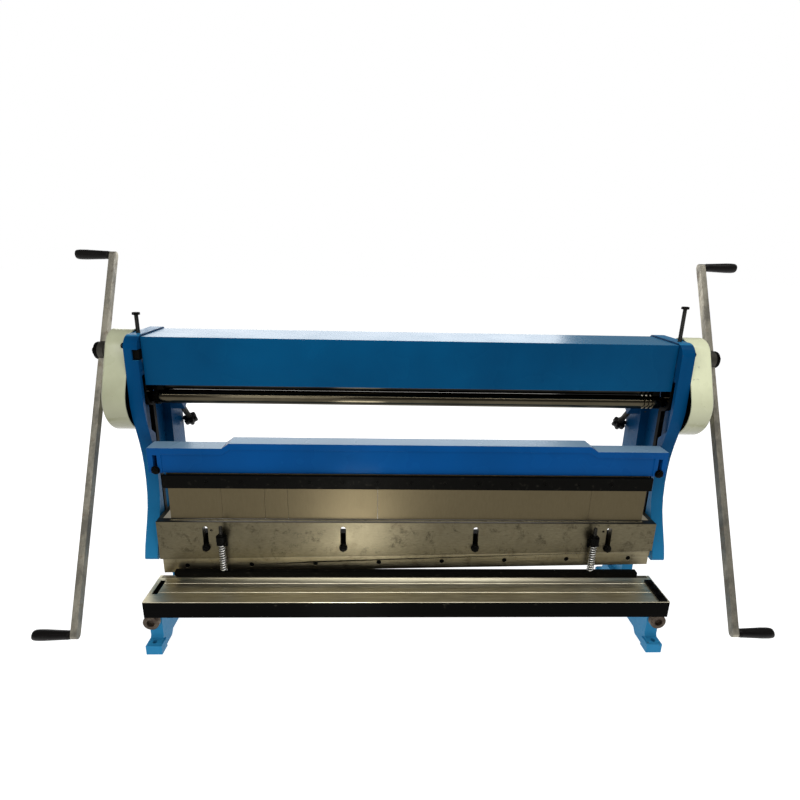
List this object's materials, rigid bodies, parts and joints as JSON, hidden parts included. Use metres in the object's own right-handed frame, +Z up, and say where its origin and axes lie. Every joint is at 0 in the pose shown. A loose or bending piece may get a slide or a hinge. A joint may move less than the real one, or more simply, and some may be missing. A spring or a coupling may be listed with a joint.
{
  "type": "sheet metal brake",
  "caption": "Bench sheet metal machine: slip rolls and crank on top, finger press brake in the middle, raked shear with hold-down at the table.",
  "frame": {"origin": "centre of the machine's footprint on the bench, under its feet", "axes": "+X across the machine to its right seen from the front, +Y to the back, +Z up"},
  "size_m": [1.868, 0.5123, 1.0817],
  "materials": {
    "blue_paint": "gloss",
    "cream_paint": "gloss",
    "ground_steel": "ground, satin",
    "bar_steel": "mill finish",
    "dark_steel": "blackened",
    "spring_steel": "bright",
    "black_plastic": "moulded"
  },
  "bodies": {
    "frame": {"left_side_frame": "blue_paint", "right_side_frame": "blue_paint", "top_cover": "blue_paint", "work_table": "ground_steel", "lower_shear_blade": "ground_steel", "table_gauge": "dark_steel", "left_table_bolt": "bar_steel", "right_table_bolt": "bar_steel", "rear_tie_bar": "dark_steel", "guide_bar": "dark_steel", "left_gear_cover": "cream_paint", "right_gear_cover": "cream_paint", "upper_die_beam": "blue_paint", "die_clamp_bar": "dark_steel", "finger_1": "ground_steel", "finger_2": "ground_steel", "finger_3": "ground_steel", "finger_4": "ground_steel", "finger_5": "ground_steel", "finger_6": "ground_steel"},
    "ram": {"ram_plate": "ground_steel", "upper_shear_blade": "ground_steel", "left_connecting_rod": "dark_steel", "right_connecting_rod": "dark_steel", "left_spring_lug": "dark_steel", "right_spring_lug": "dark_steel"},
    "hold_down": {"hold_down_bar": "dark_steel", "left_hold_down_rod": "bar_steel", "right_hold_down_rod": "bar_steel", "left_rod_nut": "dark_steel", "right_rod_nut": "dark_steel", "left_spring": "spring_steel", "right_spring": "spring_steel"},
    "crank": {"crankshaft": "bar_steel", "left_crank_arm": "bar_steel", "right_crank_arm": "bar_steel", "left_pinion": "dark_steel", "right_pinion": "dark_steel", "left_hub_nut": "dark_steel", "right_hub_nut": "dark_steel"},
    "left_upper_grip": {"left_upper_grip": "black_plastic"},
    "left_lower_grip": {"left_lower_grip": "black_plastic"},
    "right_upper_grip": {"right_upper_grip": "black_plastic"},
    "right_lower_grip": {"right_lower_grip": "black_plastic"},
    "lower_roll": {"lower_roll": "ground_steel", "lower_roll_gear": "dark_steel", "left_drive_gear": "dark_steel", "right_drive_gear": "dark_steel"},
    "upper_bearings": {"left_upper_block": "dark_steel", "right_upper_block": "dark_steel"},
    "upper_roll": {"upper_roll": "ground_steel", "upper_roll_gear": "dark_steel"},
    "left_top_bolt": {"left_top_bolt": "dark_steel"},
    "right_top_bolt": {"right_top_bolt": "dark_steel"},
    "rear_carriage": {"left_rear_block": "dark_steel", "right_rear_block": "dark_steel"},
    "rear_roll": {"rear_roll": "ground_steel"},
    "left_star_knob": {"left_star_knob": "black_plastic"},
    "right_star_knob": {"right_star_knob": "black_plastic"}
  },
  "joints": [
    {"name": "ram_slide", "type": "slide", "parent": "frame", "child": "ram", "axis": [0, 0, 1], "range_m": [-0.042, 0]},
    {"name": "hold_down_slide", "type": "slide", "parent": "frame", "child": "hold_down", "axis": [0, 0, 1], "range_m": [-0.0106, 0], "deforming": ["left_spring", "right_spring"]},
    {"name": "crank_turn", "type": "hinge", "parent": "frame", "child": "crank", "pos_m": [0, 0.06709, 0.8225], "axis": [1, 0, 0], "continuous": true},
    {"name": "lower_roll_turn", "type": "hinge", "parent": "frame", "child": "lower_roll", "pos_m": [0, 0.05609, 0.701], "axis": [1, 0, 0], "continuous": true},
    {"name": "upper_bearings_slide", "type": "slide", "parent": "frame", "child": "upper_bearings", "axis": [0, 0, 1], "range_m": [0, 0.004]},
    {"name": "upper_roll_turn", "type": "hinge", "parent": "upper_bearings", "child": "upper_roll", "pos_m": [0, 0.05609, 0.741], "axis": [1, 0, 0], "continuous": true},
    {"name": "rear_carriage_slide", "type": "slide", "parent": "frame", "child": "rear_carriage", "axis": [0, -0.6791, 0.7341], "range_m": [-0.012, 0.01]},
    {"name": "rear_roll_turn", "type": "hinge", "parent": "rear_carriage", "child": "rear_roll", "pos_m": [0, 0.11966, 0.70128], "axis": [1, 0, 0], "continuous": true},
    {"name": "left_top_bolt_turn", "type": "hinge", "parent": "upper_bearings", "child": "left_top_bolt", "pos_m": [-0.723, 0.04209, 0.86], "axis": [0, 0, 1], "range_deg": [0, 721]},
    {"name": "left_star_knob_turn", "type": "hinge", "parent": "rear_carriage", "child": "left_star_knob", "pos_m": [-0.684, 0.23509, 0.5765], "axis": [0, -0.6791, 0.7341], "range_deg": [-2161, 1801]},
    {"name": "left_upper_grip_turn", "type": "hinge", "parent": "crank", "child": "left_upper_grip", "pos_m": [-0.88, 0.18376, 1.06821], "axis": [1, 0, 0], "continuous": true},
    {"name": "left_lower_grip_turn", "type": "hinge", "parent": "crank", "child": "left_lower_grip", "pos_m": [-0.88, -0.2426, 0.17029], "axis": [1, 0, 0], "continuous": true},
    {"name": "right_top_bolt_turn", "type": "hinge", "parent": "upper_bearings", "child": "right_top_bolt", "pos_m": [0.723, 0.04209, 0.86], "axis": [0, 0, 1], "range_deg": [0, 721]},
    {"name": "right_star_knob_turn", "type": "hinge", "parent": "rear_carriage", "child": "right_star_knob", "pos_m": [0.684, 0.23509, 0.5765], "axis": [0, -0.6791, 0.7341], "range_deg": [-2161, 1801]},
    {"name": "right_upper_grip_turn", "type": "hinge", "parent": "crank", "child": "right_upper_grip", "pos_m": [0.88, 0.18376, 1.06821], "axis": [1, 0, 0], "continuous": true},
    {"name": "right_lower_grip_turn", "type": "hinge", "parent": "crank", "child": "right_lower_grip", "pos_m": [0.88, -0.2426, 0.17029], "axis": [1, 0, 0], "continuous": true}
  ],
  "couplings": [
    {"joint": "hold_down_slide", "follows": "ram_slide", "ratio": 0.25},
    {"joint": "lower_roll_turn", "follows": "crank_turn", "ratio": -0.4878},
    {"joint": "upper_roll_turn", "follows": "crank_turn", "ratio": 0.4878},
    {"joint": "left_top_bolt_turn", "follows": "upper_bearings_slide", "rad_per_m": 3141.6},
    {"joint": "right_top_bolt_turn", "follows": "upper_bearings_slide", "rad_per_m": 3141.6},
    {"joint": "left_star_knob_turn", "follows": "rear_carriage_slide", "rad_per_m": 3141.6},
    {"joint": "right_star_knob_turn", "follows": "rear_carriage_slide", "rad_per_m": 3141.6}
  ]
}
